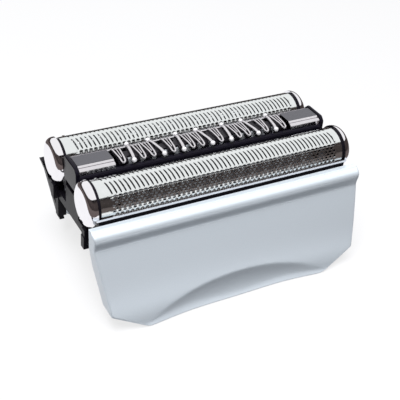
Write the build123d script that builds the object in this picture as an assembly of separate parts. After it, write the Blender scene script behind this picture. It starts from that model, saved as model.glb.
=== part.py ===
"""Floating-foil shaver head: a drop-in cassette with two foil units and a trimmer between them.

Frame: millimetres, +Z up, X along the foils, front towards -Y.  The origin lies in the
middle of the base on which both apron panels stand.  Each foil unit and the trimmer float
downwards on bow springs, and the cutters inside them slide along X.
"""
from build123d import *
import math
import os

os.makedirs("parts", exist_ok=True)

# Stretched foils
foil_length = 41.2
foil_radius = 3.25
foil_thickness = 0.15
foil_spacing = 12.6
foil_axis_height = 17.3
foil_skirt = 1.1
slot_count = 55
slot_width = 0.28
slot_span = 5.2
slot_slant = 10.0
foil_margin = 1.2
# Plated foil frames: round end caps and the two bright rails
cap_radius = 3.5
cap_thickness = 1.3
cap_round = 1.15
cap_gap = 0.5
rail_height = 0.35
rail_root = 0.3
slit_width = 1.5
slit_top = 2.3
# Foil bases, the moulded rings on which the foils are stretched
base_height = 2.0
foil_seat = 0.2
base_lip = 0.35
arch_length = 2.2
seat_fit = 0.03
# Cutter blocks under the foils
cutter_stroke = 0.9
blade_clearance = 0.25
blade_count = 16
blade_thickness = 0.35
blade_ring = 0.7
blade_foot = 0.95
carrier_top_drop = 1.4
carrier_flange = 0.9
carrier_height = 3.9
carrier_width = 3.4
carrier_setback = 2.6
flange_round = 0.5
keel_round = 0.8
socket_length = 3.0
socket_width = 1.8
socket_depth = 2.4
socket_round = 0.4
# Trimmer between the foils
trimmer_length = 43.2
trimmer_width = 5.0
trimmer_end = 0.6
trimmer_end_rise = 0.2
trimmer_end_chamfer = 0.8
trimmer_end_bevel = 0.2
trough_width = 3.5
trough_depth = 1.55
trough_belly = 1.25
trough_shoulder = 0.3
stem_width = 4.4
stem_inner = 9.5
stem_length = 39.8
stem_height = 3.5
comb_width = 4.4
comb_flat = 2.6
comb_drop = 0.65
comb_skirt = 0.55
comb_sheet = 0.35
comb_length = 41.8
comb_toothed = 30.4
tooth_pairs = 9
tooth_width = 0.55
tooth_lean = 0.9
tooth_fork = 0.32
tip_radius = 0.42
tip_height = 0.6
# Reciprocating trimmer blade
trimmer_stroke = 0.7
blade_gap = 0.15
trimmer_blade_width = 3.1
trimmer_blade_length = 29.0
trimmer_blade_teeth = 15
trimmer_blade_drop = 0.5
trimmer_tooth_depth = 0.9
trimmer_tooth_slot = 0.8
holder_width = 1.9
holder_length = 26.0
holder_clearance = 0.2
tongue_length = 3.2
tongue_width = 1.6
tongue_reach = 2.1
# Travel and springs
foil_travel = 1.6
trimmer_travel = 1.0
spring_height = 2.5
spring_strip = 0.2
spring_width = 1.4
spring_span = 4.0
spring_clearance = 0.05
# Chassis that carries everything
ledge_thickness = 1.3
ledge_round = 1.5
bay_window_width = 5.2
bay_window_margin = 0.5
spine_window_length = 23.0
spine_window_width = 3.0
chassis_wall = 1.0
chassis_wall_bottom = 4.8
chassis_arch_height = 9.2
chassis_arch_margin = 2.6
chassis_arch_round = 2.0
chassis_clearance = 0.1
catch_bottom = 5.4
catch_height = 1.4
catch_thickness = 0.7
end_wall_clearance = 0.3
end_wall_thickness = 1.1
end_wall_width = 15.2
tower_width = 5.0
tower_clearance = 0.4
rib_width = 1.1
rib_reach = 0.8
rib_clearance = 0.3
leg_thickness = 1.35
front_leg_stand = 0.9
front_leg_length = 0.8
rear_leg_stand = 0.1
rear_leg_length = 3.6
cheek_drop = 1.0
cheek_width = 0.8
cheek_depth = 1.3
cheek_clearance = 0.15
# Apron panels
shoulder_drop = 0.4
shoulder_rise = 3.15
shoulder_lip = 0.15
shoulder_bulge = 0.5
crease_step = 1.75
corner_height = 3.1
corner_step = 3.6
foot_step = 0.6
panel_wall = 1.3
panel_side_wall = 1.1
return_depth = 3.2
rail_clearance = 0.35
corner_round = 0.6
foot_round = 3.0
front_half_widths = (22.8, 22.75, 21.35, 15.5)
rear_half_widths = (21.4, 20.7, 18.7, 15.2)
scoop_radius = 24.0
scoop_height = 7.2
scoop_depth = 1.1
scoop_section = 9.0
scoop_tilt = 9.0
scoop_blend = 4.0
panel_rib_width = 1.0
panel_rib_root = 0.65
panel_rib_height = 2.5
panel_rib_places = (-15.0, -5.0, 5.0, 15.0)

# Levels and offsets that follow from the sizes above
foil_offset = foil_spacing / 2
foil_inner_radius = foil_radius - foil_thickness
foil_foot = foil_axis_height - foil_skirt
foil_crest = foil_axis_height + foil_radius
cap_inner_x = foil_length / 2 + cap_gap
cap_outer_x = cap_inner_x + cap_thickness
base_top = foil_foot + foil_seat
base_bottom = base_top - base_height
base_inner = foil_inner_radius - base_lip
arch_inner_x = cap_inner_x - arch_length
blade_radius = foil_inner_radius - blade_clearance
carrier_top = foil_axis_height - carrier_top_drop
carrier_half_length = arch_inner_x - cutter_stroke - blade_clearance
ledge_top = base_bottom - spring_height
ledge_bottom = ledge_top - ledge_thickness
comb_top = foil_crest
comb_eave = comb_top - comb_drop
trough_wall_top = comb_eave - comb_skirt
trough_floor = trough_wall_top - trough_depth
trough_half = trough_width / 2
trimmer_end_height = comb_top + trimmer_end_rise
stem_bottom = trough_floor - stem_height
tongue_bottom = stem_bottom - tongue_reach
slit_height = foil_axis_height - slit_top
end_wall_inner = stem_length / 2 + end_wall_clearance
chassis_half_length = end_wall_inner + end_wall_thickness
chassis_edge = foil_offset + cap_radius + chassis_clearance
chassis_face = chassis_edge + chassis_wall
panel_limit = foil_offset + cap_radius + rail_clearance
shoulder_height = base_top - shoulder_drop
shoulder_depth = panel_limit + shoulder_lip
crease_height = shoulder_height - shoulder_rise
crease_depth = shoulder_depth + crease_step
corner_depth = crease_depth + corner_step
foot_depth = corner_depth + foot_step


def slab(x_limits, y_limits, z_limits):
    """A block between two limits along each axis."""
    limits = (x_limits, y_limits, z_limits)
    middle = [(low + high) / 2 for low, high in limits]
    return Pos(*middle) * Box(*[high - low for low, high in limits])


def along_x(section, start, end):
    """A (y, z) section carried along X."""
    return extrude(Plane.YZ.offset(start) * section, amount=end - start)


def along_y(section, start, end):
    """An (x, z) section carried along Y."""
    plane = Plane((0, end, 0), x_dir=(1, 0, 0), z_dir=(0, -1, 0))
    return extrude(plane * section, amount=end - start)


def upright(section, bottom, top):
    """An (x, y) plan raised between two heights."""
    return extrude(Plane.XY.offset(bottom) * section, amount=top - bottom)


def outline(*points):
    """A face bounded by straight lines through the points."""
    return make_face(Polyline(*points, close=True))


def both_ends(solid):
    """The solid and its mirror image at the other end of the head."""
    return solid + mirror(solid, Plane.YZ)


def arch(radius, foot):
    """Half disc about the foil axis, with straight flanks down to foot."""
    edges = [
        Line((radius, foot), (radius, foil_axis_height)),
        ThreePointArc(
            (radius, foil_axis_height), (0, foil_axis_height + radius), (-radius, foil_axis_height)
        ),
        Line((-radius, foil_axis_height), (-radius, foot)),
        Line((-radius, foot), (radius, foot)),
    ]
    return make_face(edges)


def foil_sheet():
    """Thin arched sheet with slanted shaving slots across its crest."""
    half = foil_length / 2
    section = arch(foil_radius, foil_foot) - arch(foil_inner_radius, foil_foot)
    sheet = along_x(section, -half, half)
    slotted = foil_length - 2 * foil_margin
    pitch = slotted / slot_count
    cutter = Rot(Z=slot_slant) * Box(slot_width, slot_span, 2 * foil_radius)
    places = [Pos(-slotted / 2 + (i + 0.5) * pitch, 0, foil_crest) for i in range(slot_count)]
    return sheet - [place * cutter for place in places]


def foil_frame():
    """Plated frame: two round end caps joined by a thin bright rail along each flank."""
    disc = Pos(0, foil_axis_height) * Circle(cap_radius)
    cap = along_x(disc, cap_inner_x, cap_outer_x)
    rim = cap.edges().filter_by(GeomType.CIRCLE).sort_by(Axis.X)[-1]
    cap = fillet(rim, cap_round)
    slit = slab(
        (cap_inner_x - cap_gap, cap_outer_x + cap_gap),
        (-slit_width / 2, slit_width / 2),
        (foil_axis_height - 2 * cap_radius, slit_height),
    )
    caps = both_ends(cap - slit)
    overlap = cap_inner_x + rail_root
    rail_top = base_top + rail_height
    rails = [
        slab((-overlap, overlap), sorted((side * foil_radius, side * cap_radius)), (base_top, rail_top))
        for side in (-1, 1)
    ]
    return caps + rails


def foil_base():
    """Moulded ring inside the foil, with an arch at each end and a groove for each flank."""
    ring = Rectangle(2 * cap_inner_x, 2 * cap_radius) - Rectangle(2 * arch_inner_x, 2 * base_inner)
    base = upright(ring, base_bottom, base_top)
    end_arch = along_x(arch(foil_inner_radius - seat_fit, base_bottom), arch_inner_x, cap_inner_x)
    base += both_ends(end_arch)
    groove_half = foil_length / 2 + seat_fit
    for side in (-1, 1):
        flank = sorted((side * (foil_inner_radius - seat_fit), side * foil_radius))
        base -= slab((-groove_half, groove_half), flank, (foil_foot, base_top + foil_seat))
    return base


def cutter_carrier():
    """Moulded block with a flange for the blades and a socket for the drive pin below."""
    flange_half = base_inner - blade_clearance
    flange_bottom = carrier_top - carrier_flange
    length = 2 * carrier_half_length
    flange = RectangleRounded(length, 2 * flange_half, flange_round)
    block = upright(flange, flange_bottom, carrier_top)
    keel_length = length - 2 * carrier_setback
    keel_bottom = carrier_top - carrier_height
    keel = RectangleRounded(keel_length, carrier_width, keel_round)
    block += upright(keel, keel_bottom, flange_bottom)
    socket = RectangleRounded(socket_length, socket_width, socket_round)
    return block - upright(socket, keel_bottom - socket_depth, keel_bottom + socket_depth)


def cutter_blades():
    """Row of thin arched lamellae standing on the carrier, one solid each."""
    ring = Circle(blade_radius) - Circle(blade_radius - blade_ring)
    upper = Pos(0, blade_radius / 2) * Rectangle(2 * blade_radius, blade_radius)
    profile = Pos(0, foil_axis_height) * (ring & upper)
    foot_outer = base_inner - blade_clearance
    foot_inner = foot_outer - blade_foot
    foot_top = foil_axis_height + blade_ring / 2
    for side in (-1, 1):
        foot = outline(
            (side * foot_inner, carrier_top),
            (side * foot_outer, carrier_top),
            (side * foot_outer, foot_top),
            (side * foot_inner, foot_top),
        )
        profile += foot
    lamella = along_x(profile, -blade_thickness / 2, blade_thickness / 2)
    reach = carrier_half_length - blade_thickness
    pitch = 2 * reach / (blade_count - 1)
    return [Pos(-reach + i * pitch, 0, 0) * lamella for i in range(blade_count)]


def bow_spring(place_x, seat, height, span):
    """Bowed spring strip whose feet stand on the chassis and whose crest lifts a unit."""
    half = span / 2
    inner = half - spring_strip
    edges = [
        ThreePointArc((-half, seat), (0, seat + height), (half, seat)),
        Line((half, seat), (inner, seat)),
        ThreePointArc((inner, seat), (0, seat + height - spring_strip), (-inner, seat)),
        Line((-inner, seat), (-half, seat)),
    ]
    return along_x(make_face(edges), place_x - spring_width / 2, place_x + spring_width / 2)


def trimmer_body():
    """Black moulded trough with raised chamfered ends and two guide stems below."""
    half = trimmer_width / 2
    lower = stem_width / 2
    trough = outline(
        (-lower, trough_floor - trough_belly),
        (lower, trough_floor - trough_belly),
        (half, trough_floor),
        (half, trough_wall_top - trough_shoulder),
        (half - trough_shoulder, trough_wall_top),
        (trough_half, trough_wall_top),
        (trough_half, trough_floor),
        (-trough_half, trough_floor),
        (-trough_half, trough_wall_top),
        (-half + trough_shoulder, trough_wall_top),
        (-half, trough_wall_top - trough_shoulder),
        (-half, trough_floor),
    )
    end_x = trimmer_length / 2
    body = along_x(trough, -end_x, end_x)
    end_shape = outline(
        (-half, trough_floor),
        (half, trough_floor),
        (half, trimmer_end_height - trimmer_end_chamfer),
        (half - trimmer_end_chamfer, trimmer_end_height),
        (-half + trimmer_end_chamfer, trimmer_end_height),
        (-half, trimmer_end_height - trimmer_end_chamfer),
    )
    end_block = along_x(end_shape, end_x - trimmer_end, end_x)
    top_edge = end_block.edges().filter_by(Axis.Y).group_by(Axis.Z)[-1].sort_by(Axis.X)[-1]
    body += both_ends(chamfer(top_edge, trimmer_end_bevel))
    stem = slab((stem_inner, stem_length / 2), (-lower, lower), (stem_bottom, trough_floor))
    body += both_ends(stem)
    slot_half = tongue_length / 2 + trimmer_stroke + holder_clearance
    slot_side = tongue_width / 2 + holder_clearance
    return body - slab((-slot_half, slot_half), (-slot_side, slot_side), (stem_bottom, trough_wall_top))


def roof(width, flat, top, eave, foot):
    """Section of a cambered strip: flat ridge, sloping eaves and straight sides down to foot."""
    half = width / 2
    ridge = flat / 2
    return outline((-half, foot), (-half, eave), (-ridge, top), (ridge, top), (half, eave), (half, foot))


def tooth_places():
    """Front and rear X of every tooth: the teeth lean and meet in pairs towards the rear."""
    pitch = comb_toothed / (2 * tooth_pairs)
    places = []
    for pair in range(tooth_pairs):
        middle = -comb_toothed / 2 + (2 * pair + 1) * pitch
        for side in (-1, 1):
            front = middle + side * pitch / 2 + tooth_lean / 2
            rear = middle + side * tooth_fork - tooth_lean / 2
            places.append((front, rear))
    return places


def trimmer_comb():
    """Folded steel comb: plain ends and a middle cut into leaning teeth with rounded tips."""
    half = comb_width / 2
    end_x = comb_length / 2
    outer = roof(comb_width, comb_flat, comb_top, comb_eave, trough_wall_top)
    inner = roof(
        comb_width - 2 * comb_sheet,
        comb_flat,
        comb_top - comb_sheet,
        comb_eave - comb_sheet,
        trough_wall_top - comb_sheet,
    )
    comb = along_x(outer - inner, -end_x, end_x)
    root = half - comb_sheet
    teeth = tooth_places()
    gaps = []
    for (front, rear), (next_front, next_rear) in zip(teeth, teeth[1:]):
        gap = outline(
            (front + tooth_width / 2, -comb_width),
            (front + tooth_width / 2, -half),
            (rear + tooth_width / 2, root),
            (next_rear - tooth_width / 2, root),
            (next_front - tooth_width / 2, -half),
            (next_front - tooth_width / 2, -comb_width),
        )
        gaps.append(upright(gap, trough_wall_top - comb_sheet, comb_top + comb_sheet))
    comb -= gaps
    tip = Cylinder(tip_radius, tip_height)
    comb += [Pos(front, -half, comb_eave) * tip for front, rear in teeth]
    pairs = zip(teeth[0::2], teeth[1::2])
    comb += [Pos((left[1] + right[1]) / 2, half, comb_eave) * tip for left, right in pairs]
    return comb


def trimmer_blade():
    """Toothed cutting strip that slides just under the comb."""
    sheet = comb_sheet
    top = comb_top - comb_sheet - blade_gap
    eave = top - trimmer_blade_drop
    outer = roof(trimmer_blade_width, comb_flat, top, eave, eave - sheet)
    inner = roof(trimmer_blade_width, comb_flat, top - sheet, eave - sheet, eave - 2 * sheet)
    half_length = trimmer_blade_length / 2
    blade = along_x(outer - inner, -half_length, half_length)
    pitch = trimmer_blade_length / trimmer_blade_teeth
    tooth_root = trimmer_blade_width / 2 - trimmer_tooth_depth
    slots = []
    for i in range(1, trimmer_blade_teeth):
        x = -half_length + i * pitch
        for side in (-1, 1):
            limits = sorted((side * tooth_root, side * trimmer_blade_width))
            half_slot = trimmer_tooth_slot / 2
            slots.append(slab((x - half_slot, x + half_slot), limits, (eave - 2 * sheet, top)))
    return blade - slots


def trimmer_blade_holder():
    """Moulded slide under the blade, with the tongue that the drive moves."""
    half_length = holder_length / 2
    half_width = holder_width / 2
    seat = comb_top - comb_sheet - blade_gap - comb_sheet
    bottom = trough_floor + holder_clearance
    slide = slab((-half_length, half_length), (-half_width, half_width), (bottom, seat))
    tongue = upright(Rectangle(tongue_length, tongue_width), tongue_bottom, bottom)
    return slide + tongue


def chassis():
    """Black inner frame: spring ledge, long walls behind the panels, end walls, ribs and legs."""
    plan = RectangleRounded(2 * chassis_half_length, 2 * chassis_edge, ledge_round)
    window = Rectangle(2 * (arch_inner_x - bay_window_margin), bay_window_width)
    for side in (-1, 1):
        plan -= Pos(0, side * foil_offset) * window
    plan -= Rectangle(spine_window_length, spine_window_width)
    frame = upright(plan, ledge_bottom, ledge_top)
    for side, widths in ((-1, front_half_widths), (1, rear_half_widths)):
        half = widths[2] - panel_side_wall - rail_clearance
        height = ledge_top - chassis_wall_bottom
        wall = Pos(0, chassis_wall_bottom + height / 2) * Rectangle(2 * half, height)
        opening_height = chassis_arch_height - chassis_wall_bottom
        opening = Pos(0, chassis_wall_bottom) * RectangleRounded(
            2 * (half - chassis_arch_margin), 2 * opening_height, chassis_arch_round
        )
        limits = sorted((side * chassis_edge, side * chassis_face))
        frame += along_y(wall - opening, *limits)
        catch_limits = sorted((side * chassis_edge, side * (chassis_edge + catch_thickness)))
        catch_levels = (catch_bottom, catch_bottom + catch_height)
        frame += both_ends(slab((half - chassis_wall, widths[2]), catch_limits, catch_levels))
    tower_top = trough_floor - trough_belly - trimmer_travel - tower_clearance
    end_wall = outline(
        (-end_wall_width / 2, ledge_bottom),
        (end_wall_width / 2, ledge_bottom),
        (end_wall_width / 2, ledge_top),
        (tower_width / 2, ledge_top),
        (tower_width / 2, tower_top),
        (-tower_width / 2, tower_top),
        (-tower_width / 2, ledge_top),
        (-end_wall_width / 2, ledge_top),
    )
    frame += both_ends(along_x(end_wall, end_wall_inner, chassis_half_length))
    rib_top = slit_height - foil_travel - rib_clearance
    rib_limits = (cap_inner_x + chassis_clearance, chassis_half_length + rib_reach)
    legs = ((-1, front_leg_stand, front_leg_length), (1, rear_leg_stand, rear_leg_length))
    for side, stand, length in legs:
        width = (side * foil_offset - rib_width / 2, side * foil_offset + rib_width / 2)
        guide = slab(rib_limits, width, (ledge_bottom, rib_top))
        outer = chassis_half_length + stand
        leg = slab((outer - leg_thickness, outer), width, (ledge_bottom - length, ledge_top))
        frame += both_ends(guide + leg)
    return frame + both_ends(rear_cheek())


def rear_cheek():
    """Slim side flange beside the narrower rear panel; a web fills the ledge's corner behind it."""
    top, crease, corner, foot = rear_half_widths
    inner = [(corner, corner_height), (crease, crease_height), (top, shoulder_height - cheek_drop)]
    outer = [(x + cheek_width, z) for x, z in reversed(inner)]
    shape = Pos(cheek_clearance, 0) * outline(*inner, *outer)
    cheek = along_y(shape, chassis_edge, chassis_edge + cheek_depth)
    web = slab(
        (chassis_half_length - ledge_round, chassis_half_length),
        (chassis_edge - ledge_round, chassis_edge),
        (ledge_bottom, ledge_top),
    )
    return cheek + web


def apron_curve(shift):
    """Outer (y, z) line of a panel, moved inwards by shift: rolled shoulder, crease, long apron."""
    top = Vector(-shoulder_depth, shoulder_height)
    crease = Vector(-crease_depth, crease_height)
    roll = Vector((top.X + crease.X) / 2 - shoulder_bulge, (top.Y + crease.Y) / 2 + shoulder_bulge)
    corner = Vector(-corner_depth, corner_height)
    foot = Vector(-foot_depth, 0)
    move = Vector(shift, 0)
    points = [point + move for point in (top, roll, crease, corner, foot)]
    return [ThreePointArc(*points[:3]), ThreePointArc(*points[2:])], points[0], points[-1]


def apron_band(outer_shift, inner_shift):
    """Face between two parallel copies of the apron line."""
    outer, outer_top, outer_foot = apron_curve(outer_shift)
    inner, inner_top, inner_foot = apron_curve(inner_shift)
    return make_face(outer + inner + [Line(outer_top, inner_top), Line(outer_foot, inner_foot)])


def apron_outline(half_widths):
    """Front view of a panel: tapering sides, cut corners and a straight foot."""
    top, crease, corner, foot = half_widths
    right = [(foot, 0), (corner, corner_height), (crease, crease_height), (top, shoulder_height)]
    left = [(-x, z) for x, z in reversed(right)]
    shape = outline(*right, *left)
    shape = fillet(shape.vertices().group_by(Axis.Y)[1], corner_round)
    return fillet(shape.vertices().group_by(Axis.Y)[0], foot_round)


def scoop(section_radius):
    """Ring-shaped cutter of the thumb scoop; its tube stands in front of the apron's foot."""
    stand_off = scoop_section - scoop_depth
    half_chord = (scoop_section ** 2 - stand_off ** 2) ** 0.5
    ring_radius = scoop_radius - half_chord
    ring = Rot(X=90 - scoop_tilt) * Torus(ring_radius, section_radius)
    lean = ring_radius * math.sin(math.radians(scoop_tilt))
    return Pos(0, -foot_depth - stand_off - lean, scoop_height - scoop_radius) * ring


def apron_panel(half_widths):
    """Moulded apron: a shallow tray with a rolled shoulder, a blended thumb scoop and inner ribs."""
    reach = 2 * half_widths[0]
    depth = (-2 * foot_depth, 0)
    face = apron_outline(half_widths)
    tray = along_x(apron_band(0, return_depth), -reach, reach) & along_y(face, *depth)
    tray -= scoop(scoop_section)
    rim = tray.faces().filter_by(GeomType.TORUS).edges().sort_by(Axis.Z)[-1]
    tray = fillet(rim, scoop_blend)
    mouth = Rectangle(2 * (half_widths[0] - panel_side_wall), 2 * panel_side_wall)
    hollow_face = offset(face, -panel_side_wall) + Pos(0, shoulder_height) * mouth
    hollow = along_x(apron_band(panel_wall, 2 * return_depth), -reach, reach)
    hollow = hollow & along_y(hollow_face, *depth)
    panel = tray - (hollow - scoop(scoop_section + panel_wall))
    panel -= slab((-reach, reach), (-panel_limit, 0), (0, 2 * shoulder_height))
    backing = along_x(apron_band(panel_rib_root, foot_depth), -reach, reach)
    for x in panel_rib_places:
        rib = slab(
            (x - panel_rib_width / 2, x + panel_rib_width / 2),
            (-foot_depth, -chassis_face),
            (ledge_top - panel_rib_height, ledge_top),
        )
        panel += rib & backing
    return panel


def save(name, shape):
    """Write one node's solid or group of solids."""
    if isinstance(shape, list):
        shape = Compound(children=shape)
    shape.label = name
    export_step(shape, f"parts/{name}.step")


save("cassette_frame", chassis())
save("front_panel", apron_panel(front_half_widths))
save("rear_panel", Rot(Z=180) * apron_panel(rear_half_widths))

spring_x = arch_inner_x + arch_length / 2
foil_spring_height = spring_height - spring_clearance
for side_name, side in (("front", -1), ("rear", 1)):
    place = Pos(0, side * foil_offset, 0)
    save(f"{side_name}_foil", place * foil_sheet())
    save(f"{side_name}_foil_frame", place * foil_frame())
    save(f"{side_name}_foil_base", place * foil_base())
    save(f"{side_name}_cutter_carrier", place * cutter_carrier())
    save(f"{side_name}_cutter_blades", [place * blade for blade in cutter_blades()])
    for end_name, end in (("left", -1), ("right", 1)):
        spring = bow_spring(end * spring_x, ledge_top, foil_spring_height, spring_span)
        save(f"{side_name}_spring_{end_name}", place * spring)

save("trimmer_body", trimmer_body())
save("trimmer_comb", trimmer_comb())
save("trimmer_blade", trimmer_blade())
save("trimmer_blade_holder", trimmer_blade_holder())
trimmer_spring_x = (stem_inner + stem_length / 2) / 2
trimmer_spring_height = stem_bottom - ledge_top - spring_clearance
for end_name, end in (("left", -1), ("right", 1)):
    spring = bow_spring(end * trimmer_spring_x, ledge_top, trimmer_spring_height, spring_span)
    save(f"trimmer_spring_{end_name}", spring)
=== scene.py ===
"""Looks of a floating-foil shaver head: frame, springs, panels, foil units, trimmer and studio."""
import math

import bmesh
import bpy
import numpy as np
from mathutils import Matrix, Vector


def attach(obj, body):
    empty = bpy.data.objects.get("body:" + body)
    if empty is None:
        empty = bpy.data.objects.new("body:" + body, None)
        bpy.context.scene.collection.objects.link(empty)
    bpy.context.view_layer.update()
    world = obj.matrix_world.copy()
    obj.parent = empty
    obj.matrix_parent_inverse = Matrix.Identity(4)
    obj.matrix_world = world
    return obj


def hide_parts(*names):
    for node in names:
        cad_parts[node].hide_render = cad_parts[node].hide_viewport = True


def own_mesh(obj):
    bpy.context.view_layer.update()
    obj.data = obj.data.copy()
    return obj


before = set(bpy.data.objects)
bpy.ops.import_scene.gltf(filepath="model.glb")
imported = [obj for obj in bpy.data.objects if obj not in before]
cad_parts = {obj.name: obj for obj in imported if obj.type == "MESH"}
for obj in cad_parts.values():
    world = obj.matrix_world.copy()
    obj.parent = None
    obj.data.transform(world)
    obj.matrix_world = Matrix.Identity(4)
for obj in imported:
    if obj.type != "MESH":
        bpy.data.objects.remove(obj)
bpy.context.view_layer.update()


# Cassette frame: the inner carrier of the head, injection moulded in black ABS.
# The springs stand on its ledge, and both panels snap over the catches of its long walls.
MM = 0.001
frame_edge = 0.12
frame_black = "#121015"
frame_black_worn = "#1A181E"
grain_detail = 3.0
weld_reach = 0.001
flat_angle = math.radians(0.4)
crisp_angle = math.radians(30)
rounded_angle = math.radians(40)
rounding_steps = 2
flat_face_weight = 80


def linear(code):
    """Linear colour with alpha 1 of an sRGB hex code: each channel through the sRGB curve."""
    channels = np.array([int(code[i:i + 2], 16) for i in (1, 3, 5)]) / 255
    curve = np.where(channels <= 0.04045, channels / 12.92, ((channels + 0.055) / 1.055) ** 2.4)
    return (*curve.tolist(), 1.0)


def add_node(tree, kind, inputs=None, **settings):
    """A new node with its settings, whose inputs get a value each or a link from a socket."""
    node = tree.nodes.new(kind)
    for name, value in settings.items():
        setattr(node, name, value)
    for name, value in (inputs or {}).items():
        if isinstance(value, bpy.types.NodeSocket):
            tree.links.new(value, node.inputs[name])
        else:
            node.inputs[name].default_value = value
    return node


def start_material(name, sockets):
    """A material with a Principled shader: gives it with its tree, shader and Object coordinates."""
    material = bpy.data.materials.new(name)
    material.use_nodes = True
    tree = material.node_tree
    tree.nodes.clear()
    shader = add_node(tree, "ShaderNodeBsdfPrincipled", sockets)
    add_node(tree, "ShaderNodeOutputMaterial", {"Surface": shader.outputs["BSDF"]})
    place = add_node(tree, "ShaderNodeTexCoord").outputs["Object"]
    return material, tree, shader, place


def mottle(name, sockets, colours, grain_mm, roughness, bump_mm):
    """A material whose colour and roughness drift over its grain, with a low bump of the same grain."""
    material, tree, shader, place = start_material(name, sockets)
    grain = add_node(
        tree,
        "ShaderNodeTexNoise",
        {"Vector": place, "Scale": 1 / (grain_mm * MM), "Detail": grain_detail},
    ).outputs["Fac"]
    blend = add_node(
        tree,
        "ShaderNodeMixRGB",
        {"Fac": grain, "Color1": linear(colours[0]), "Color2": linear(colours[1])},
    )
    gloss = add_node(
        tree, "ShaderNodeMapRange", {"Value": grain, "To Min": roughness[0], "To Max": roughness[1]}
    )
    relief = add_node(
        tree, "ShaderNodeBump", {"Strength": 1.0, "Distance": bump_mm * MM, "Height": grain}
    )
    tree.links.new(blend.outputs["Color"], shader.inputs["Base Color"])
    tree.links.new(gloss.outputs["Result"], shader.inputs["Roughness"])
    tree.links.new(relief.outputs["Normal"], shader.inputs["Normal"])
    return material


def settle(piece, material, body, slot, *nodes):
    """Gives a piece its finish, lets it ride on its body and stand for its nodes."""
    piece.data.materials.clear()
    piece.data.materials.append(material)
    bpy.context.scene.collection.objects.link(piece)
    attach(piece, body)
    if nodes:
        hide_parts(*nodes)
    return piece


def softened(node, edge_mm, material, body, slot):
    """A node's solid with merged corners; its sharp edges get the small round of a moulding, if any."""
    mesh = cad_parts[node].data.copy()
    work = bmesh.new()
    work.from_mesh(mesh)
    bmesh.ops.remove_doubles(work, verts=work.verts, dist=weld_reach * MM)
    bmesh.ops.dissolve_limit(work, angle_limit=flat_angle, verts=work.verts, edges=work.edges)
    work.to_mesh(mesh)
    work.free()
    mesh.shade_smooth()
    piece = bpy.data.objects.new(f"{node}_finished", mesh)
    if not edge_mm:
        mesh.set_sharp_from_angle(angle=crisp_angle)
        return settle(piece, material, body, slot, node)
    rounding = piece.modifiers.new("edge round", "BEVEL")
    rounding.width = edge_mm * MM
    rounding.segments = rounding_steps
    rounding.limit_method = "ANGLE"
    rounding.angle_limit = rounded_angle
    normals = piece.modifiers.new("flat faces", "WEIGHTED_NORMAL")
    normals.weight = flat_face_weight
    return settle(piece, material, body, slot, node)


# Moulded ABS off a spark-eroded tool: a fine grain that breaks up its highlights.
black_abs = mottle(
    "black ABS",
    {"Specular IOR Level": 0.2, "IOR": 1.3},
    (frame_black, frame_black_worn),
    grain_mm=0.25,
    roughness=(0.3, 0.4),
    bump_mm=0.0008,
)
softened("cassette_frame", frame_edge, black_abs, "cassette", "black_abs")


# Bow springs: six strips of blue-grey spring steel bent to an arc, which stand on the ledge.
# They are laid in loose; the real ones flatten when a foil unit or the trimmer is pressed down, and these
# are drawn at rest.
spring_seat = 11.9
spring_span = 4.0
spring_strip = 0.2
spring_width = 1.4
foil_offset = 6.3
foil_spring_x = 20.0
foil_spring_height = 2.45
foil_spring_kept = 0.36
trimmer_spring_x = 14.7
trimmer_spring_height = 2.35
trimmer_spring_kept = 0.58
spring_steps = 41
spring_edge_steps = 12
spring_side_power = 0.35
spring_face_power = 0.6
spring_crisp_angle = math.radians(40)


def sheet_faces(rows, columns, first=0, ring=False):
    """Quads of a grid of vertices stored row by row; with ring, the last column joins the first."""
    row, column = np.mgrid[0:rows - 1, 0:columns - (0 if ring else 1)]
    here = row * columns + column
    beside = row * columns + (column + 1) % columns
    return np.stack([here, beside, beside + columns, here + columns], -1).reshape(-1, 4) + first


def squared(wave, power):
    """A wave drawn towards a square one: its sign times its size raised to a power under 1."""
    return np.sign(wave) * np.abs(wave) ** power


def bow(middle, height):
    """Strip along a circle through both feet and the crest; its section is a superellipse."""
    half = spring_span / 2 - spring_strip / 2
    rise = height - spring_strip / 2
    radius = (half ** 2 + rise ** 2) / (2 * rise)
    limit = math.atan2(half, rise - radius)
    along = np.linspace(-limit, limit, spring_steps)[:, None]
    around = np.linspace(0, 2 * np.pi, spring_edge_steps, endpoint=False)[None, :]
    across = spring_width / 2 * squared(np.cos(around), spring_side_power)
    reach = radius + spring_strip / 2 * squared(np.sin(around), spring_face_power)
    x = middle[0] + across + 0 * along
    y = middle[1] + reach * np.sin(along)
    z = spring_seat + rise - radius + reach * np.cos(along)
    points = np.stack([x, y, np.maximum(z, spring_seat)], -1)
    last = (spring_steps - 1) * spring_edge_steps
    ends = [range(spring_edge_steps)[::-1], range(last, last + spring_edge_steps)]
    faces = sheet_faces(spring_steps, spring_edge_steps, ring=True).tolist() + [list(end) for end in ends]
    return points, faces


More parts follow.
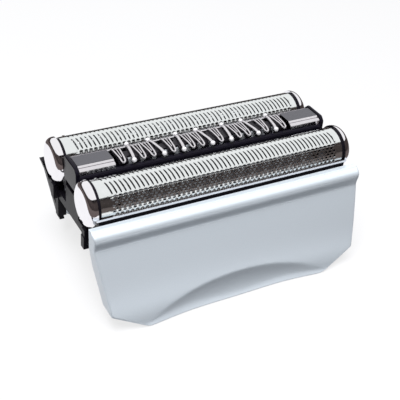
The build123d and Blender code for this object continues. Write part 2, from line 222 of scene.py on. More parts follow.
# Rolled and tempered strip: a blue-grey tone with the fine grain of the rolls.
spring_steel = mottle(
    "tempered spring steel",
    {"Metallic": 1.0},
    ("#7E828C", "#A2A5AD"),
    grain_mm=0.4,
    roughness=(0.22, 0.36),
    bump_mm=0.002,
)
spring_rows = [
    ("front", foil_spring_x, -foil_offset, foil_spring_height, "front_foil_float", foil_spring_kept),
    ("rear", foil_spring_x, foil_offset, foil_spring_height, "rear_foil_float", foil_spring_kept),
    ("trimmer", trimmer_spring_x, 0.0, trimmer_spring_height, "trimmer_float", trimmer_spring_kept),
]
for unit, spring_x, spring_y, spring_height, joint, keep in spring_rows:
    for end, side in (("left", -1), ("right", 1)):
        points, faces = bow((side * spring_x, spring_y), spring_height)
        mesh = bpy.data.meshes.new(f"{unit}_bow_{end}")
        mesh.from_pydata((points.reshape(-1, 3) * MM).tolist(), [], faces)
        mesh.shade_smooth()
        mesh.set_sharp_from_angle(angle=spring_crisp_angle)
        spring = bpy.data.objects.new(f"{unit}_bow_{end}", mesh)
        settle(spring, spring_steel, "cassette", "spring_steel", f"{unit}_spring_{end}")
        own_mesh(spring)


# Apron panels: shallow trays of moulded ABS in silver lacquer, with a rolled shoulder, a crease
# and a thumb scoop at the foot. They snap onto the catches of the frame; the rear one is narrower.
front_half_widths = (22.8, 22.75, 21.35, 15.5)
rear_half_widths = (21.4, 20.7, 18.7, 15.2)
panel_heights = (16.0, 12.85, 3.1, 0.0)
shoulder_top = (-10.3, 16.0)
shoulder_nose = (-12.2, 14.9)
shoulder_valley = (-11.97, 13.1)
apron_line = ((-12.05, 12.85), (-15.42, 3.1), (-16.25, 0.0))
panel_limit = -10.15
panel_wall = 1.3
panel_side_wall = 1.1
panel_return = 3.2
panel_edge = 0.35
panel_edge_angles = np.radians(np.linspace(15, 90, 6))
panel_lip = 0.1
panel_inner_lip = 0.02
panel_rounds = (3.0, 0.6, 0.05)
panel_round_steps = 9
panel_step = 0.2
panel_columns = 201
panel_crisp_degrees = 20.0
shoulder_rows = 32
shoulder_sweep = 1.2
scoop_radius = 27.0
scoop_top = 8.6
scoop_depth = 1.4
scoop_section = 9.0
scoop_tilt = math.radians(9)
scoop_softness = 0.14
scoop_soft_reach = 4
scoop_reach = 17.0
scoop_rounds = 8
rib_places = (-15.0, -5.0, 5.0, 15.0)
rib_half_width = 0.5
rib_heights = (9.4, 11.9)
rib_inner_y = -10.9
rib_quads = ((0, 2, 3, 1), (4, 5, 7, 6), (0, 1, 5, 4), (2, 6, 7, 3), (0, 4, 6, 2), (1, 3, 7, 5))
sliver_reach = 0.0005


def mesh_piece(name, points, faces, crisp_degrees):
    """A piece from points in millimetres and quads, merged where points meet; its edges are crisp
    past an angle and where the sheet is open.
    """
    mesh = bpy.data.meshes.new(name)
    mesh.from_pydata((np.asarray(points).reshape(-1, 3) * MM).tolist(), [], np.asarray(faces).tolist())
    work = bmesh.new()
    work.from_mesh(mesh)
    bmesh.ops.remove_doubles(work, verts=work.verts, dist=weld_reach * MM)
    bmesh.ops.dissolve_degenerate(work, dist=sliver_reach * MM, edges=work.edges)
    work.to_mesh(mesh)
    work.free()
    mesh.shade_smooth()
    mesh.set_sharp_from_angle(angle=math.radians(crisp_degrees))
    edge_at_corner = np.empty(len(mesh.loops), np.int32)
    mesh.loops.foreach_get("edge_index", edge_at_corner)
    crisp = np.empty(len(mesh.edges), bool)
    mesh.edges.foreach_get("use_edge_sharp", crisp)
    crisp |= np.bincount(edge_at_corner, minlength=len(mesh.edges)) == 1
    mesh.edges.foreach_set("use_edge_sharp", crisp)
    return bpy.data.objects.new(name, mesh)


def joined(patches):
    """Several patches of points and quads as one."""
    counts = np.cumsum([0] + [len(points) for points, faces in patches])
    faces = np.vstack([faces + count for (points, faces), count in zip(patches, counts)])
    return np.vstack([points for points, faces in patches]), faces


def arc_depth(line, z):
    """Depth y at height z on the circle through three (y, z) points, on its outward side."""
    first, *others = np.array(line)
    shares = [(other @ other - first @ first) / 2 for other in others]
    centre_y, centre_z = np.linalg.solve(np.array(others) - first, np.array(shares))
    radius = math.hypot(first[0] - centre_y, first[1] - centre_z)
    return centre_y - np.sqrt(np.maximum(radius ** 2 - (z - centre_z) ** 2, 0))


def shoulder_depth(z):
    """Depth y of the shoulder: a quarter ellipse down to its nose, half a cosine wave in to the valley
    below it, and a parabola out again to the crease.
    """
    top_y, top_z = shoulder_top
    nose_y, nose_z = shoulder_nose
    valley_y, valley_z = shoulder_valley
    climb = np.clip((z - nose_z) / (top_z - nose_z), 0, 1)
    under = np.clip((nose_z - z) / (nose_z - valley_z), 0, 1)
    outward = np.clip((valley_z - z) / (valley_z - panel_heights[1]), 0, 1)
    roll = (nose_y - top_y) * np.sqrt(1 - climb ** 2)
    dip = (valley_y - nose_y) * (1 - np.cos(np.pi * under)) / 2
    return top_y + roll + dip + (apron_line[0][0] - valley_y) * outward ** 2


def scoop_depth_at(x, z):
    """Depth y of the thumb scoop: the inner side of a leaning ring whose tube stands before the foot,
    found by a few rounds of putting the last depth into the ring's own equation.
    """
    stand_off = scoop_section - scoop_depth
    ring_radius = scoop_radius - math.sqrt(scoop_section ** 2 - stand_off ** 2)
    centre_y = apron_line[2][0] - stand_off - ring_radius * math.sin(scoop_tilt)
    centre_z = scoop_top - scoop_radius
    axis_y, axis_z = -math.cos(scoop_tilt), math.sin(scoop_tilt)
    y = np.full(np.broadcast(x, z).shape, apron_line[2][0])
    for _ in range(scoop_rounds):
        along = (y - centre_y) * axis_y + (z - centre_z) * axis_z
        across = np.sqrt(np.maximum(x ** 2 + (y - centre_y) ** 2 + (z - centre_z) ** 2 - along ** 2, 0))
        tube = np.sqrt(np.maximum(scoop_section ** 2 - (across - ring_radius) ** 2, 0))
        y = centre_y + (-tube - (z - centre_z) * axis_z) / axis_y
    return y


def apron(x, z):
    """Outer depth of a panel: rolled shoulder above the crease, apron arc below, softly cut by the
    scoop, whose depth fades with the square of x.
    """
    plain = np.where(z >= panel_heights[1], shoulder_depth(z), arc_depth(apron_line, z))
    hollow = scoop_depth_at(x, z) - plain
    cut = (hollow + np.sqrt(hollow ** 2 + scoop_softness ** 2)) / 2
    fade = np.clip(1 - (x / scoop_reach) ** 2, 0, 1)
    return plain + fade * np.where(hollow > -scoop_soft_reach * scoop_softness, cut, 0)


def rounded_run(corners, radii, steps):
    """Line through corners in the plane, each inner one replaced by an arc that touches both sides."""
    corners = np.array(corners, float)
    parts = [corners[:1]]
    for before, corner, after, radius in zip(corners, corners[1:], corners[2:], radii):
        towards = (before - corner) / np.linalg.norm(before - corner)
        onwards = (after - corner) / np.linalg.norm(after - corner)
        between = (towards + onwards) / np.linalg.norm(towards + onwards)
        half_angle = math.acos(np.clip(towards @ onwards, -1, 1)) / 2
        middle = corner + between * radius / math.sin(half_angle)
        start = corner + towards * radius / math.tan(half_angle)
        finish = corner + onwards * radius / math.tan(half_angle)
        turn = np.linspace(0, 1, steps)[:, None]
        spokes = (1 - turn) * (start - middle) + turn * (finish - middle)
        parts.append(middle + spokes / np.linalg.norm(spokes, axis=1, keepdims=True) * radius)
    return np.vstack(parts + [corners[-1:]])


def dense(run, step):
    """The same line with points added so that no two are further apart than a step."""
    lengths = np.linalg.norm(np.diff(run, axis=0), axis=1)
    counts = np.maximum(np.ceil(lengths / step).astype(int), 1)
    parts = [
        start + (end - start) * np.linspace(0, 1, count, endpoint=False)[:, None]
        for start, end, count in zip(run, run[1:], counts)
    ]
    return np.vstack(parts + [run[-1:]])


def panel_mesh(half_widths):
    """Closed tray: a grid of apron depths in the outline, an edge roll, side walls and an inner grid."""
    knees = [(0, 0), *zip(half_widths[::-1], panel_heights[::-1])]
    run = dense(rounded_run(knees, panel_rounds, panel_round_steps)[1:-1], panel_step)
    climb = np.append(np.sin(np.linspace(0, shoulder_sweep, shoulder_rows)), 1.0)[1:, None]
    run = np.vstack([run, run[-1] + (np.array(knees[-1]) - run[-1]) * climb])
    slope = np.gradient(run, axis=0)
    slope /= np.linalg.norm(slope, axis=1, keepdims=True)
    outward = np.stack([slope[:, 1], -slope[:, 0]], -1)
    outward[0] = (0, -1)
    face = run - panel_edge * outward
    face[-1, 1] = run[-1, 1] - panel_lip
    inner = run - panel_side_wall * outward
    inner[:, 1] = np.maximum.accumulate(inner[:, 1])
    inner[-1, 1] = run[-1, 1] - panel_inner_lip
    share = np.linspace(-1, 1, panel_columns)
    rows = len(run)

    def spread(line):
        """Every row of a half outline spread from its left to its right end."""
        return line[:, 0][:, None] * share[None, :], np.repeat(line[:, 1][:, None], panel_columns, 1)

    def border(grid):
        """Border of a grid in one turn: down the left, along the foot, up the right, along the top."""
        return np.concatenate([grid[::-1, 0], grid[0, 1:], grid[1:, -1], grid[-1, -2:0:-1]])

    face_x, face_z = spread(face)
    outer_x, outer_z = (border(values) for values in spread(run))
    inner_x, inner_z = spread(inner)
    face_y = apron(face_x, face_z)
    inner_y = np.minimum(apron(inner_x, inner_z) + panel_wall, panel_limit)
    edge_x, edge_y, edge_z = border(face_x), border(face_y), border(face_z)
    back_y = np.minimum(edge_y + panel_return, panel_limit)
    depth = np.minimum(panel_edge, back_y - edge_y)
    rings = [
        np.stack([
            edge_x + (outer_x - edge_x) * math.sin(angle),
            edge_y + depth * (1 - math.cos(angle)),
            edge_z + (outer_z - edge_z) * math.sin(angle),
        ], -1)
        for angle in panel_edge_angles
    ]
    rings.append(np.stack([outer_x, back_y, outer_z], -1))
    rings.append(np.stack([border(inner_x), back_y, border(inner_z)], -1))
    face_points = np.stack([face_x, face_y, face_z], -1).reshape(-1, 3)
    inner_points = np.stack([inner_x, inner_y, inner_z], -1).reshape(-1, 3)
    loop = len(edge_x)
    first_ring = len(face_points)
    first_inner = first_ring + len(rings) * loop
    number = np.arange(rows * panel_columns).reshape(rows, panel_columns)
    strips = [border(number)]
    strips += [first_ring + ring * loop + np.arange(loop) for ring in range(len(rings))]
    strips.append(first_inner + border(number))
    faces = [sheet_faces(rows, panel_columns), sheet_faces(rows, panel_columns, first_inner)[:, ::-1]]
    for near, far in zip(strips, strips[1:]):
        faces.append(np.stack([near, far, np.roll(far, -1), np.roll(near, -1)], -1))
    return np.vstack([face_points, *rings, inner_points]), np.vstack(faces)


def panel_rib(middle):
    """An inner rib: a wedge from inside the panel's wall to the frame, between two heights."""
    corners = np.meshgrid(rib_heights, (0, 1), (-1, 1), indexing="ij")
    z, inside, side = (values.ravel() for values in corners)
    y = np.where(inside == 1, rib_inner_y, arc_depth(apron_line, z) + panel_wall / 2)
    return np.stack([middle + side * rib_half_width, y, z], -1), np.array(rib_quads)


# Silver lacquer: aluminium flake in a pale blue-grey base under a satin clear coat.
# The flakes are drawn coarser than real ones, so that they show.
silver_lacquer = mottle(
    "silver lacquer",
    {"Metallic": 0.4, "Coat Weight": 0.1, "Coat Roughness": 0.2},
    ("#D0DAE3", "#DCE4EB"),
    grain_mm=0.12,
    roughness=(0.3, 0.37),
    bump_mm=0.0006,
)
for side, half_widths, turn in (("front", front_half_widths, 1), ("rear", rear_half_widths, -1)):
    points, faces = joined([panel_mesh(half_widths)] + [panel_rib(x) for x in rib_places])
    panel = mesh_piece(f"{side}_apron", points * (turn, turn, 1), faces, panel_crisp_degrees)
    settle(panel, silver_lacquer, "cassette", "silver_lacquer", f"{side}_panel")


# Foil bases: black moulded rings with an arch at each end, over which the foils are stretched.
# They carry the plated frames, and slide up and down in the frame on the bow springs.
base_edge = 0.08
for side in ("front", "rear"):
    softened(f"{side}_foil_base", base_edge, black_abs, f"{side}_foil_unit", "black_abs")


# Foils: electroformed nickel sheets 0.12 mm thick, bent over the arch and seated in the base.
# Leaning slots cross the crest, and both flanks carry a fine mesh of holes with rolled rims.
foil_radius = 3.25
foil_axis = 17.3
foil_half = 20.6
foil_foot = 16.2
foil_sheet = 0.12
foil_margin = 1.2
foil_crisp_degrees = 50.0
slot_count = 55
slot_half_width = 0.13
slot_start = 0.28
slot_end = 2.44
slot_squareness = 8
slot_lean = math.tan(math.radians(11))
slot_rows = 44
crest_band = 2.52
mesh_rows = 8
mesh_row_pitch = 0.44
mesh_columns = 50
hole_length = 0.29
hole_width = 0.15
rim_length = 1.2
rim_width = 1.25
rim_height = 0.02
rim_inner_height = 0.4


def wrap(x, s, lift=0.0):
    """A flat sheet bent over the arch: s is arc length from the crest, and past a quarter turn the
    sheet runs straight down.
    """
    quarter = np.pi / 2 * foil_radius
    bent = np.clip(s, -quarter, quarter)
    radius = foil_radius + lift
    drop = np.abs(s) - np.abs(bent)
    y = radius * np.sin(bent / foil_radius)
    z = foil_axis + radius * np.cos(bent / foil_radius) - drop
    return np.stack(np.broadcast_arrays(x, y, z), -1)


def slot_field():
    """Slot cells in a row: webs beside a front and a rear slot, each a superellipse in width along s."""
    s = np.linspace(-crest_band, crest_band, slot_rows + 1)
    reach = (np.abs(s) - (slot_end + slot_start) / 2) / ((slot_end - slot_start) / 2)
    width = slot_half_width * np.sqrt(np.clip(1 - np.abs(reach) ** slot_squareness, 0, 1))
    pitch = 2 * (foil_half - foil_margin) / slot_count
    middle = -foil_half + foil_margin + (np.arange(slot_count) + 0.5) * pitch
    edges = np.stack([0 * s - pitch / 2, -width, width, 0 * s + pitch / 2])
    lean = -slot_lean * s * np.clip((crest_band - np.abs(s)) / (crest_band - slot_end), 0, 1)
    leaning = np.ones((slot_count, 4, 1))
    leaning[0, 0] = leaning[-1, 3] = 0
    x = middle[:, None, None] + edges[None] + lean * leaning
    points = wrap(x, np.broadcast_to(s, x.shape)).reshape(-1, 3)
    number = np.arange(x.size).reshape(x.shape)
    corners = [number[:, :-1, :-1], number[:, 1:, :-1], number[:, 1:, 1:], number[:, :-1, 1:]]
    quads = np.stack(corners, -1)
    bridge = (width[:-1] == 0) & (width[1:] == 0)
    keep = np.ones(quads.shape[:3], bool)
    keep[:, 1, :] = bridge[None, :]
    return points, quads[keep]


def mesh_field(side):
    """Rows of cells like brickwork on a flank, each a ring of quads from its border to its hole."""
    border_x = np.array([-2, -1, 0, 1, 2, 2, 2, 1, 0, -1, -2, -2]) / 4
    border_s = np.array([-1, -1, -1, -1, -1, 0, 1, 1, 1, 1, 1, 0]) / 2
    angle = np.arctan2(border_s, border_x)
    pitch = 2 * (foil_half - foil_margin) / mesh_columns
    row, column = np.mgrid[0:mesh_rows, 0:mesh_columns - 1]
    cell_x = -foil_half + foil_margin + pitch * (column + 0.5 + 0.5 * (row % 2))
    cell_s = crest_band + mesh_row_pitch * (row + 0.5)
    hole_x = hole_length * np.cos(angle)
    hole_s = hole_width * np.sin(angle)
    ring_x = np.stack([border_x * pitch, rim_length * hole_x, hole_x])
    ring_s = np.stack([border_s * mesh_row_pitch, rim_width * hole_s, hole_s])
    lift = np.array([0.0, rim_height, rim_height * rim_inner_height])[None, None, :, None]
    x = cell_x[..., None, None] + ring_x[None, None]
    s = cell_s[..., None, None] + ring_s[None, None]
    points = wrap(side * x, side * s, np.broadcast_to(lift, x.shape)).reshape(-1, 3)
    number = np.arange(x.size).reshape(-1, *ring_x.shape)
    after = np.roll(number, -1, 2)
    quads = np.stack([number[:, :-1], after[:, :-1], after[:, 1:], number[:, 1:]], -1)
    return points, quads.reshape(-1, 4)


def plain_field(x_limits, s_limits, columns, rows):
    """A plain patch of the sheet between two places along it and two arc lengths."""
    x, s = np.meshgrid(np.linspace(*x_limits, columns), np.linspace(*s_limits, rows))
    return wrap(x, s).reshape(-1, 3), sheet_faces(rows, columns)


def foil_patches():
    """All patches of a foil: slots over the crest, mesh and feet on both flanks, plain end margins,
    and the half and whole cells that fill the ends of the mesh rows.
    """
    field = foil_half - foil_margin
    mesh_end = crest_band + mesh_rows * mesh_row_pitch
    foot = np.pi / 2 * foil_radius + foil_axis - foil_foot
    pitch = 2 * field / mesh_columns
    even_ends = [(field - pitch, field)]
    odd_ends = [(-field, -field + pitch / 2), (field - pitch / 2, field)]
    patches = [slot_field(), mesh_field(-1), mesh_field(1)]
    for start, end in ((-foil_half, -field), (field, foil_half)):
        patches.append(plain_field((start, end), (-mesh_end, mesh_end), columns=3, rows=49))
    for side in (-1, 1):
        limits = sorted((side * mesh_end, side * foot))
        patches.append(plain_field((-foil_half, foil_half), limits, columns=3, rows=5))
        for row in range(mesh_rows):
            start = crest_band + row * mesh_row_pitch
            limits = sorted((side * start, side * (start + mesh_row_pitch)))
            ends = odd_ends if row % 2 else even_ends
            for near, far in ends:
                patches.append(plain_field(sorted((side * near, side * far)), limits, columns=2, rows=3))
    return patches


# Electroformed nickel: bright and cool, with the soft haze of the plating bath.
nickel_foil = mottle(
    "electroformed nickel",
    {"Metallic": 1.0},
    ("#E0E4E4", "#EEF1F1"),
    grain_mm=0.6,
    roughness=(0.08, 0.15),
    bump_mm=0.0005,
)
for side, middle in (("front", -foil_offset), ("rear", foil_offset)):
    points, faces = joined(foil_patches())
    foil = mesh_piece(f"{side}_foil_sheet", points + (0, middle, 0), faces, foil_crisp_degrees)
    sheet = foil.modifiers.new("sheet", "SOLIDIFY")
    sheet.thickness = foil_sheet * MM
    sheet.offset = -1.0
    settle(foil, nickel_foil, f"{side}_foil_unit", "nickel_foil", f"{side}_foil")


# Foil frames: round end caps joined by a thin rail along each flank, moulded and chrome plated.
# The caps close the ends of the foil, and their slit slides over a guide rib of the frame. The
# rounds of the caps are in the solid, so no edge is added.
cap_edge = 0.0
# Bright chrome on ABS: a mirror with a very slight waviness of the moulding under it.
chrome_plating = mottle(
    "chrome plated ABS",
    {"Metallic": 1.0},
    ("#ECEAEE", "#F4F3F6"),
    grain_mm=1.5,
    roughness=(0.05, 0.09),
    bump_mm=0.0004,
)
for side in ("front", "rear"):
    softened(f"{side}_foil_frame", cap_edge, chrome_plating, f"{side}_foil_unit", "plated_cap")


# Cutter blocks: grey acetal carriers with a row of ground steel lamellae, one under each foil.
# A pin of the drive reaches into the socket below and slides the block along the foil.
carrier_edge = 0.15
# Moulded acetal: a waxy, even grey without a sharp highlight.
grey_acetal = mottle(
    "grey acetal",
    {"IOR": 1.48},
    ("#8B8E93", "#979A9F"),
    grain_mm=0.5,
    roughness=(0.4, 0.55),
    bump_mm=0.003,
)
# Ground steel: grinding marks that are too fine to show are drawn as a grain of 0.15 mm.
blade_steel = mottle(
    "ground blade steel",
    {"Metallic": 1.0},
    ("#9A9BA0", "#B4B5B9"),
    grain_mm=0.15,
    roughness=(0.22, 0.4),
    bump_mm=0.002,
)
for side in ("front", "rear"):
    softened(f"{side}_cutter_carrier", carrier_edge, grey_acetal, f"{side}_cutter", "grey_acetal")
    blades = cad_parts[f"{side}_cutter_blades"]
    blades.data.materials.clear()
    blades.data.materials.append(blade_steel)


# Trimmer body: a glossy black moulded trough between the foils, with chamfered ends and two stems
# that slide in the frame. The blade holder is a grey acetal slide with a tongue for the drive.
trimmer_edge = 0.14
holder_edge = 0.12
# ABS off a polished tool: deep black, with clear highlights along its edges.
gloss_black = mottle(
    "polished black ABS",
    {"Specular IOR Level": 0.3, "IOR": 1.3},
    ("#0E0C14", "#14121B"),
    grain_mm=1.2,
    roughness=(0.12, 0.2),
    bump_mm=0.0006,
)
softened("trimmer_body", trimmer_edge, gloss_black, "trimmer", "gloss_black")
softened("trimmer_blade_holder", holder_edge, grey_acetal, "trimmer_cutter", "grey_acetal")
# Trimmer blade steel drawn near black, the shade in the hollow under the comb painted into it, so that
# the comb's bright teeth stand out over it.
blade_painted_shade = mottle(
    "blade steel with painted shade",
    {"Metallic": 0.6},
    ("#1B191E", "#26242A"),
    grain_mm=0.2,
    roughness=(0.35, 0.5),
    bump_mm=0.001,
)
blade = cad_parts["trimmer_blade"]
blade.data.materials.clear()
blade.data.materials.append(blade_painted_shade)


# Trimmer comb: a folded steel strip, clipped onto the body by its plain bevelled ends.
# Its middle is cut into leaf-shaped fingers and slim bars that lean in turn and end in round tips.
comb_top = 20.55
comb_half = 20.9
comb_plain_from = 15.3
comb_front = -2.2
comb_rear = 2.2
comb_sheet = 0.3
comb_inset = 0.86
comb_front_half = (
    (-2.2, 19.35),
    (-2.2, 20.0),
    (-2.1, 20.11),
    (-1.78, 20.3),
    (-1.7, 20.14),
    (-1.62, 20.33),
    (-1.3, 20.52),
)
fold_crisp_degrees = 20.0
tooth_crisp_degrees = 60.0
land_half = 1.28
land_sheet = 0.05
camber_level = 0.9
camber_reach = 1.3
camber_drop = 0.3
tip_pitch = 1.652
tip_count = 18
tip_cycle = 5
first_tip = -13.99
bar_leans = {1: 0.7, 4: -0.7}
bar_width = 0.5
bar_thickness = 0.36
bar_steps = 15
ball_radius = 0.4
ball_height = 20.12
ball_rows = 9
ball_columns = 14
leaf_leans = {0: 0.2, 2: 0.05, 3: -0.12}
leaf_root = 0.6
leaf_root_setback = 0.2
leaf_tip = 0.27
leaf_nose_from = 0.92
leaf_nose = 0.08
leaf_nose_start = 0.2
leaf_nose_steps = 6
leaf_steps = 12
leaf_sink = 0.05
leaf_wire = 0.28
leaf_thickness = 0.3
vein_width = 0.18
vein_end = 0.82
vein_steps = 9
rail_overlap = 0.3
rail_setback = 0.3
rail_height = 19.7
rail_width = 0.4
rail_thickness = 0.7
rail_steps = 60
rod_sides = 12
rod_power = 0.6


def camber(y):
    """Height of the comb's teeth: level at the crest, falling with the square of y past it."""
    return comb_top - camber_drop * np.clip((np.abs(y) - camber_level) / camber_reach, 0, None) ** 2


def rods(paths, width, thickness):
    """Many rods at once: a round-cornered section carried along each path, closed to a point at its
    ends.
    """
    tangent = np.gradient(paths, axis=1)
    tangent /= np.linalg.norm(tangent, axis=2, keepdims=True)
    side = np.cross(tangent, (0.0, 0.0, 1.0))
    side /= np.linalg.norm(side, axis=2, keepdims=True)
    up = np.cross(side, tangent)
    around = np.linspace(0, 2 * np.pi, rod_sides, endpoint=False)
    across = squared(np.cos(around), rod_power) * width / 2
    rise = squared(np.sin(around), rod_power) * thickness / 2
    swell = np.ones(paths.shape[1])
    swell[[0, -1]] = 0.0
    offsets = across[:, None] * side[:, :, None, :] + rise[:, None] * up[:, :, None, :]
    points = paths[:, :, None, :] + swell[None, :, None, None] * offsets
    count, length = paths.shape[:2]
    faces = [sheet_faces(length, rod_sides, rod * length * rod_sides, ring=True) for rod in range(count)]
    return points.reshape(-1, 3), np.vstack(faces)


def balls(middles, radius):
    """Many round tips at once: a sphere by latitude and longitude about each middle."""
    latitude = np.linspace(-np.pi / 2, np.pi / 2, ball_rows)[:, None]
    longitude = np.linspace(0, 2 * np.pi, ball_columns, endpoint=False)[None, :]
    sphere = np.stack(np.broadcast_arrays(
        np.cos(latitude) * np.cos(longitude), np.cos(latitude) * np.sin(longitude), np.sin(latitude)
    ), -1)
    points = np.asarray(middles)[:, None, None, :] + (sphere * radius)[None]
    size = ball_rows * ball_columns
    faces = [sheet_faces(ball_rows, ball_columns, ball * size, ring=True) for ball in range(len(middles))]
    return points.reshape(-1, 3), np.vstack(faces)


def carried(outer, inner, start, end):
    """A folded sheet between an outer and an inner line, carried along X and drawn to its middle at
    both ends.
    """
    loop = np.vstack([outer, inner[::-1]])
    middle = (outer + inner) / 2
    middle = np.vstack([middle, middle[::-1]])
    section = np.stack([middle, loop, loop, middle])
    x = np.array([start, start, end, end])[:, None]
    points = np.stack(np.broadcast_arrays(x, section[..., 0], section[..., 1]), -1)
    return points.reshape(-1, 3), sheet_faces(4, len(loop), ring=True)


front_half = np.array(comb_front_half)
fold_outer = np.vstack([front_half, front_half[::-1] * (-1, 1)])
fold_inner = fold_outer * (comb_inset, 1.0) - (0, comb_sheet)
land_outer = np.array([(-land_half, comb_top), (land_half, comb_top)])
land_inner = land_outer - (0, land_sheet)
end_limits = ((-comb_half, -comb_plain_from), (comb_plain_from, comb_half))
folds = joined([carried(fold_outer, fold_inner, *limits) for limits in end_limits])
lands = joined([carried(land_outer, land_inner, *limits) for limits in end_limits])

tip_x = first_tip + tip_pitch * np.arange(tip_count)
bar_places = np.array([i for i in range(tip_count) if i % tip_cycle in bar_leans])
bar_lean = np.array([bar_leans[i % tip_cycle] for i in bar_places])
across_y = np.linspace(comb_front, comb_rear, bar_steps)
bar_run = (across_y - comb_front) / (comb_rear - comb_front)
bar_x = tip_x[bar_places][:, None] + bar_lean[:, None] * bar_run
bar_y = np.broadcast_to(across_y, bar_x.shape)
bar_z = camber(bar_y) - bar_thickness / 2
bars = rods(np.stack([bar_x, bar_y, bar_z], -1), bar_width, bar_thickness)
ball_middles = [
    np.stack([bar_x[:, end], bar_y[:, end], np.full(len(bar_places), ball_height)], -1) for end in (0, -1)
]
tips = balls(np.vstack(ball_middles), ball_radius)

leaf_places = np.array([i for i in range(tip_count) if i % tip_cycle in leaf_leans])
leaf_lean = np.array([leaf_leans[i % tip_cycle] for i in leaf_places])
nose_run = leaf_nose_from + leaf_nose * np.sin(np.linspace(leaf_nose_start, np.pi / 2, leaf_nose_steps))
leaf_run = np.concatenate([np.linspace(0, leaf_nose_from, leaf_steps), nose_run])
leaf_half = leaf_root + (leaf_tip - leaf_root) * leaf_run
leaf_half *= np.sqrt(1 - (np.clip(leaf_run - leaf_nose_from, 0, None) / leaf_nose) ** 2)
plan_run = np.concatenate([leaf_run, leaf_run[-2::-1]])
plan_half = np.concatenate([-leaf_half, leaf_half[-2::-1]])


def leaf_paths(run, offset):
    """Paths from the comb's rear edge (run 0) to each leaf's tip (run 1), offset sideways."""
    x = tip_x[leaf_places][:, None] + offset + leaf_lean[:, None] * (1 - run)
    root_y = comb_rear - leaf_root_setback
    y = np.broadcast_to(root_y + (comb_front - comb_rear + leaf_root_setback) * run, x.shape)
    return np.stack([x, y, camber(y) - leaf_thickness / 2 - leaf_sink], -1)


leaves = rods(leaf_paths(plan_run, plan_half), leaf_wire, leaf_thickness)
veins = rods(leaf_paths(np.linspace(0, vein_end, vein_steps), 0.0), vein_width, leaf_thickness)
rail_end = comb_plain_from + rail_overlap
rail_x = np.linspace(-rail_end, rail_end, rail_steps)
rail_path = np.stack(np.broadcast_arrays(rail_x, comb_rear - rail_setback, rail_height), -1)[None]
rail = rods(rail_path, rail_width, rail_thickness)
# Tumbled stainless steel on the teeth and bevels: bright, with softened reflections.
bright_steel = mottle(
    "tumbled stainless steel",
    {"Metallic": 1.0},
    ("#D6D3D7", "#E6E4E8"),
    grain_mm=0.3,
    roughness=(0.1, 0.2),
    bump_mm=0.0006,
)
# Brushed flats on the plain ends: a dull grey whose lines, too fine to show, are drawn as a grain.
brushed_steel = mottle(
    "brushed stainless steel",
    {"Metallic": 1.0},
    ("#6A6A70", "#77777D"),
    grain_mm=0.15,
    roughness=(0.3, 0.4),
    bump_mm=0.0008,
)
# Round tips: the comb's steel drawn near white and half diffuse, a painted highlight that keeps them pale
# from every side.
tip_highlight_steel = mottle(
    "stainless steel with painted highlight",
    {"Metallic": 0.5},
    ("#F0EEF2", "#F8F7FA"),
    grain_mm=0.3,
    roughness=(0.3, 0.4),
    bump_mm=0.0004,
)
comb_rows = [
    ("tips", tips, tooth_crisp_degrees, tip_highlight_steel),
    ("folds", folds, fold_crisp_degrees, bright_steel),
    ("teeth", joined([bars, leaves, veins, rail]), tooth_crisp_degrees, bright_steel),
    ("lands", lands, fold_crisp_degrees, brushed_steel),
]
for name, (points, faces), crisp_degrees, steel in comb_rows:
    piece = mesh_piece(f"trimmer_comb_{name}", points, faces, crisp_degrees)
    settle(piece, steel, "trimmer", "comb_steel", "trimmer_comb")


# Studio: a pale floor in a white surround, under a soft overhead lamp with a weak fill in front.
# A dark cloth that lies around the part and rises to a wall shows in reflections alone, as an
# unlit room does. A black card before the front panel darkens what its undersides see.
floor_half = 3.0
floor_glow = 0.76
wall_radius = 0.45
wall_foot = 0.001
wall_steps = 72
wall_rise_degrees = 14
wall_front_rise_degrees = 36
wall_front_power = 1.5
cloth_radius = 0.062
cloth_front = 0.042
card_x = (-0.045, 0.045)
card_y = (-0.0245, -0.0168)
card_height = 0.0005
matt_roughness = 0.9
surround_light = 0.15
lamp_rows = [
    ("overhead_lamp", (-0.10, -0.12, 0.43), 0.28, 4.0, "#FFFFFF"),
    ("front_fill", (0.30, -0.40, 0.16), 0.30, 0.15, "#F2F6FF"),
]


def flat_piece(name, x_limits, y_limits, z):
    """A level rectangle between two places along x and two along y, in metres."""
    (left, right), (near, far) = x_limits, y_limits
    mesh = bpy.data.meshes.new(name)
    corners = [(left, near, z), (right, near, z), (right, far, z), (left, far, z)]
    mesh.from_pydata(corners, [], [(0, 1, 2, 3)])
    return bpy.data.objects.new(name, mesh)


# Floor paint: a white glow for the camera and for reflections, which still takes the shadow; a
# plain grey for all other light.
floor_paint = bpy.data.materials.new("white floor paint")
floor_paint.use_nodes = True
tree = floor_paint.node_tree
tree.nodes.clear()
rays = add_node(tree, "ShaderNodeLightPath")
matt = add_node(tree, "ShaderNodeBsdfDiffuse", {"Color": linear("#6E6E70")})
glow = add_node(tree, "ShaderNodeEmission", {"Color": linear("#FFFFFF"), "Strength": floor_glow})
lit = add_node(tree, "ShaderNodeAddShader", {0: matt.outputs[0], 1: glow.outputs[0]})
plain = add_node(tree, "ShaderNodeBsdfDiffuse", {"Color": linear("#505054")})
shown = add_node(
    tree,
    "ShaderNodeMath",
    {0: rays.outputs["Is Camera Ray"], 1: rays.outputs["Is Glossy Ray"]},
    operation="MAXIMUM",
)
choice = add_node(
    tree, "ShaderNodeMixShader", {"Fac": shown.outputs[0], 1: plain.outputs[0], 2: lit.outputs[0]}
)
add_node(tree, "ShaderNodeOutputMaterial", {"Surface": choice.outputs[0]})
floor = flat_piece("studio_floor", (-floor_half, floor_half), (-floor_half, floor_half), 0)
floor.data.materials.append(floor_paint)

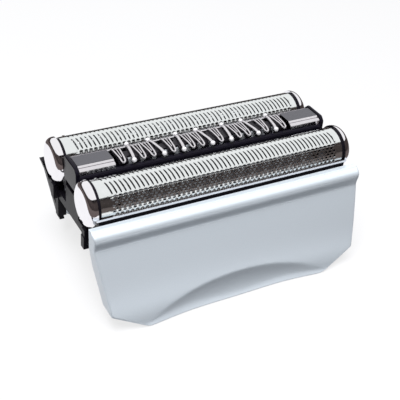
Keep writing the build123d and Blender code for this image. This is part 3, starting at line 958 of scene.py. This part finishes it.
# The cloth's inner edge comes nearer in front, where the wall is also highest.
wall_turn = np.linspace(0, 2 * np.pi, wall_steps, endpoint=False)
front_share = 0.5 - 0.5 * np.sin(wall_turn)
wall_rise = np.radians(wall_rise_degrees + wall_front_rise_degrees * front_share ** wall_front_power)
cloth_reach = cloth_radius + (cloth_front - cloth_radius) * front_share
level = np.ones(wall_steps)
wall_reach = np.stack([cloth_reach, level * wall_radius, level * wall_radius])
wall_heights = np.stack([level * wall_foot, level * wall_foot, wall_radius * np.tan(wall_rise)])
wall_points = np.stack([wall_reach * np.cos(wall_turn), wall_reach * np.sin(wall_turn), wall_heights], -1)
wall_mesh = bpy.data.meshes.new("dark_studio_wall")
wall_faces = sheet_faces(len(wall_reach), wall_steps, ring=True)
wall_mesh.from_pydata(wall_points.reshape(-1, 3).tolist(), [], wall_faces.tolist())
wall = bpy.data.objects.new("dark_studio_wall", wall_mesh)
wall_cloth = {"Base Color": linear("#4A4240"), "Roughness": matt_roughness}
wall_mesh.materials.append(start_material("dark wall paint", wall_cloth)[0])
wall.visible_camera = False
wall.visible_diffuse = False
wall.visible_shadow = False
wall.visible_transmission = False

card = flat_piece("black_card", card_x, card_y, card_height)
card_paper = {"Base Color": linear("#1C1B1E"), "Roughness": matt_roughness}
card.data.materials.append(start_material("black card", card_paper)[0])
card.visible_camera = False
card.visible_shadow = False
for stage_piece in (floor, wall, card):
    bpy.context.scene.collection.objects.link(stage_piece)

world = bpy.data.worlds.new("white surround")
bpy.context.scene.world = world
world.use_nodes = True
tree = world.node_tree
tree.nodes.clear()
rays = add_node(tree, "ShaderNodeLightPath")
seen = add_node(
    tree,
    "ShaderNodeMath",
    {0: rays.outputs["Is Camera Ray"], 1: rays.outputs["Is Glossy Ray"]},
    operation="MAXIMUM",
)
seen = add_node(
    tree,
    "ShaderNodeMath",
    {0: seen.outputs[0], 1: rays.outputs["Is Transmission Ray"]},
    operation="MAXIMUM",
)
soft = add_node(tree, "ShaderNodeBackground", {"Color": linear("#F4F7FF"), "Strength": surround_light})
white = add_node(tree, "ShaderNodeBackground", {"Color": linear("#FFFFFF"), "Strength": 1.0})
choice = add_node(
    tree, "ShaderNodeMixShader", {"Fac": seen.outputs[0], 1: soft.outputs[0], 2: white.outputs[0]}
)
add_node(tree, "ShaderNodeOutputWorld", {"Surface": choice.outputs[0]})

for name, location, size, energy, colour in lamp_rows:
    lamp_data = bpy.data.lights.new(name, "AREA")
    lamp_data.size = size
    lamp_data.energy = energy
    lamp_data.color = linear(colour)[:3]
    lamp = bpy.data.objects.new(name, lamp_data)
    lamp.location = location
    lamp.rotation_mode = "QUATERNION"
    lamp.rotation_quaternion = (-Vector(location)).to_track_quat("-Z", "Y")
    lamp.visible_glossy = False
    bpy.context.scene.collection.objects.link(lamp)

# Camera: at the photograph's angle, on the left in front of the part and above it.
azimuth = math.radians(31.41)
elevation = math.radians(34.79)
roll = math.radians(5.25)
look_at = Vector((-0.178, -1.683, 9.367)) * MM
camera_distance = 0.135
back_x = -math.sin(azimuth) * math.cos(elevation)
back_y = -math.cos(azimuth) * math.cos(elevation)
back = Vector((back_x, back_y, math.sin(elevation)))
camera_data = bpy.data.cameras.new("camera")
camera_data.lens = 75.67
camera_data.sensor_width = 36.0
camera_data.clip_start = 0.005
camera = bpy.data.objects.new("camera", camera_data)
camera.location = look_at + back * camera_distance
camera_turn = (-back).to_track_quat("-Z", "Y").to_matrix() @ Matrix.Rotation(roll, 3, "Z")
camera.rotation_mode = "QUATERNION"
camera.rotation_quaternion = camera_turn.to_quaternion()
bpy.context.scene.collection.objects.link(camera)
bpy.context.scene.camera = camera
bpy.context.scene.view_settings.view_transform = "Standard"
